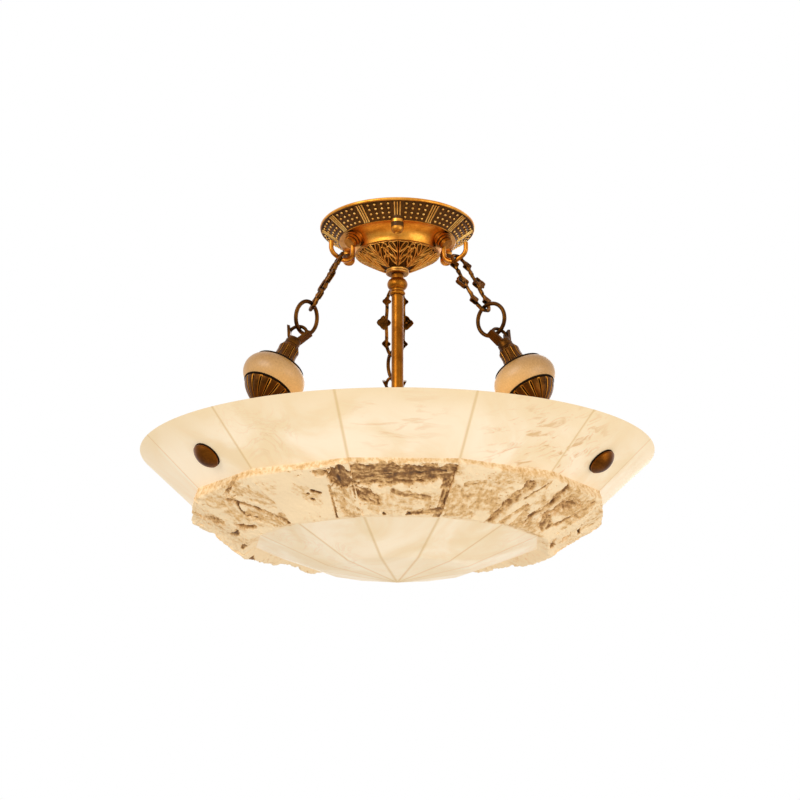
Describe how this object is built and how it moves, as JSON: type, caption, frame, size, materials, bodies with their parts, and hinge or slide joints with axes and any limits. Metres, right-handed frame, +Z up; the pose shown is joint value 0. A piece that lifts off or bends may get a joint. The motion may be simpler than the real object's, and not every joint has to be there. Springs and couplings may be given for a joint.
{
  "type": "bowl pendant light",
  "caption": "Ceiling pendant: a faceted alabaster bowl hung by chain links and rings from a gilt canopy, with alabaster finials, a central stem and a lamp cluster.",
  "frame": {"origin": "centre of the ceiling contact plane, on the axis of the stem", "axes": "+Z up into the ceiling, -Y the front in the picture, +X to the right"},
  "size_m": [0.5, 0.4999, 0.3697],
  "materials": {
    "canopy_gilt": "aged gilt with dark patina in the recesses",
    "cap_nut_brass": "polished brass with a dark skirt",
    "stem_bronze": "antique brass, patinated in the recesses",
    "chain_bronze": "dark antique bronze with rubbed edges",
    "finial_brass": "antique brass with dark flutes",
    "collar_alabaster": "honed translucent alabaster",
    "bowl_alabaster": "honed cream alabaster with cloudy veins, lit from inside",
    "raw_alabaster": "unworked alabaster, pitted and creviced, brown in the hollows",
    "black_rubber": "matt black",
    "zinc_steel": "zinc plated",
    "block_plastic": "ivory",
    "lead_sleeve": "insulated lead",
    "holder_porcelain": "white porcelain",
    "lamp_glass": "frosted, warm white"
  },
  "bodies": {
    "fitting": {"ceiling_bracket": "zinc_steel", "bracket_studs": "zinc_steel", "canopy_dish": "canopy_gilt", "acanthus_boss": "stem_bronze", "ball_collar": "stem_bronze", "stem_tube": "stem_bronze", "stem_nipple": "zinc_steel", "stem_lock_nut": "zinc_steel", "terminal_block": "block_plastic", "earth_screw": "zinc_steel", "lead_wires": "lead_sleeve", "chain_hook_1": "chain_bronze", "chain_hook_2": "chain_bronze", "chain_hook_3": "chain_bronze", "hook_nuts": "zinc_steel", "lamp_hub": "stem_bronze", "hub_cap": "stem_bronze", "lamp_arms": "stem_bronze", "lampholder_1": "holder_porcelain", "lampholder_2": "holder_porcelain", "lampholder_3": "holder_porcelain"},
    "bowl": {"rim_panels": "bowl_alabaster", "middle_blocks": "raw_alabaster", "bottom_petals": "bowl_alabaster", "centre_petals": "bowl_alabaster", "hanger_rod_1": "finial_brass", "hanger_rod_2": "finial_brass", "hanger_rod_3": "finial_brass", "shackle_1": "chain_bronze", "shackle_2": "chain_bronze", "shackle_3": "chain_bronze", "finial_cone_1": "finial_brass", "finial_cone_2": "finial_brass", "finial_cone_3": "finial_brass", "finial_gaskets": "black_rubber", "alabaster_collar_1": "collar_alabaster", "alabaster_collar_2": "collar_alabaster", "alabaster_collar_3": "collar_alabaster", "fluted_cup_1": "finial_brass", "fluted_cup_2": "finial_brass", "fluted_cup_3": "finial_brass", "cup_nuts": "zinc_steel", "wall_pads": "black_rubber", "wall_lock_nuts": "zinc_steel", "outer_washers": "black_rubber"},
    "link_1": {"chain_link_1": "chain_bronze"},
    "ring_1": {"chain_ring_1": "chain_bronze"},
    "canopy_nut_1": {"canopy_cap_nut_1": "cap_nut_brass"},
    "lamp_1": {"bulb_1": "lamp_glass"},
    "bowl_nut_1": {"bowl_cap_nut_1": "cap_nut_brass"},
    "link_2": {"chain_link_2": "chain_bronze"},
    "ring_2": {"chain_ring_2": "chain_bronze"},
    "canopy_nut_2": {"canopy_cap_nut_2": "cap_nut_brass"},
    "lamp_2": {"bulb_2": "lamp_glass"},
    "bowl_nut_2": {"bowl_cap_nut_2": "cap_nut_brass"},
    "link_3": {"chain_link_3": "chain_bronze"},
    "ring_3": {"chain_ring_3": "chain_bronze"},
    "canopy_nut_3": {"canopy_cap_nut_3": "cap_nut_brass"},
    "lamp_3": {"bulb_3": "lamp_glass"},
    "bowl_nut_3": {"bowl_cap_nut_3": "cap_nut_brass"}
  },
  "joints": [
    {"name": "bowl_twist", "type": "hinge", "parent": "fitting", "child": "bowl", "pos_m": [0, 0, -0.25], "axis": [0, 0, 1], "range_deg": [-5, 5]},
    {"name": "link_swing_1", "type": "hinge", "parent": "fitting", "child": "link_1", "pos_m": [0.05898, -0.03405, -0.04984], "axis": [0.7703, -0.4447, 0.4571], "range_deg": [-6.2, 6.2]},
    {"name": "ring_spin_1", "type": "hinge", "parent": "link_1", "child": "ring_1", "pos_m": [0.08997, -0.05194, -0.11948], "axis": [0.6605, 0.7438, 0.1028], "continuous": true},
    {"name": "canopy_nut_turn_1", "type": "hinge", "parent": "fitting", "child": "canopy_nut_1", "pos_m": [-0.00184, -0.05847, -0.026], "axis": [0, 0, 1], "continuous": true},
    {"name": "lamp_turn_1", "type": "hinge", "parent": "fitting", "child": "lamp_1", "pos_m": [0, -0.06, -0.285], "axis": [0, -1, 0], "continuous": true},
    {"name": "bowl_nut_turn_1", "type": "hinge", "parent": "bowl", "child": "bowl_nut_1", "pos_m": [0.18153, -0.11706, -0.27613], "axis": [0.5358, -0.3455, -0.7705], "continuous": true},
    {"name": "link_swing_2", "type": "hinge", "parent": "fitting", "child": "link_2", "pos_m": [-0.05898, -0.03405, -0.04984], "axis": [-0.7703, -0.4447, 0.4571], "range_deg": [-6.2, 6.2]},
    {"name": "ring_spin_2", "type": "hinge", "parent": "link_2", "child": "ring_2", "pos_m": [-0.08997, -0.05194, -0.11948], "axis": [0.7871, -0.5834, -0.2004], "continuous": true},
    {"name": "canopy_nut_turn_2", "type": "hinge", "parent": "fitting", "child": "canopy_nut_2", "pos_m": [0.05156, 0.02764, -0.026], "axis": [0, 0, 1], "continuous": true},
    {"name": "lamp_turn_2", "type": "hinge", "parent": "fitting", "child": "lamp_2", "pos_m": [0.05196, 0.03, -0.285], "axis": [0.866, 0.5, 0], "continuous": true},
    {"name": "bowl_nut_turn_2", "type": "hinge", "parent": "bowl", "child": "bowl_nut_2", "pos_m": [-0.17382, -0.12823, -0.27613], "axis": [-0.513, -0.3784, -0.7705], "continuous": true},
    {"name": "link_swing_3", "type": "hinge", "parent": "fitting", "child": "link_3", "pos_m": [0, 0.0681, -0.04984], "axis": [0, 0.8894, 0.4571], "range_deg": [-6.2, 6.2]},
    {"name": "ring_spin_3", "type": "hinge", "parent": "link_3", "child": "ring_3", "pos_m": [0, 0.10389, -0.11948], "axis": [-0.9135, -0.3618, -0.1859], "continuous": true},
    {"name": "canopy_nut_turn_3", "type": "hinge", "parent": "fitting", "child": "canopy_nut_3", "pos_m": [-0.04972, 0.03083, -0.026], "axis": [0, 0, 1], "continuous": true},
    {"name": "lamp_turn_3", "type": "hinge", "parent": "fitting", "child": "lamp_3", "pos_m": [-0.05196, 0.03, -0.285], "axis": [-0.866, 0.5, 0], "continuous": true},
    {"name": "bowl_nut_turn_3", "type": "hinge", "parent": "bowl", "child": "bowl_nut_3", "pos_m": [0, 0.216, -0.27935], "axis": [0, 0.6779, -0.7352], "continuous": true}
  ],
  "couplings": [
    {"joint": "link_swing_1", "follows": "bowl_twist", "ratio": 1.195},
    {"joint": "link_swing_2", "follows": "bowl_twist", "ratio": 1.195},
    {"joint": "link_swing_3", "follows": "bowl_twist", "ratio": 1.195}
  ]
}
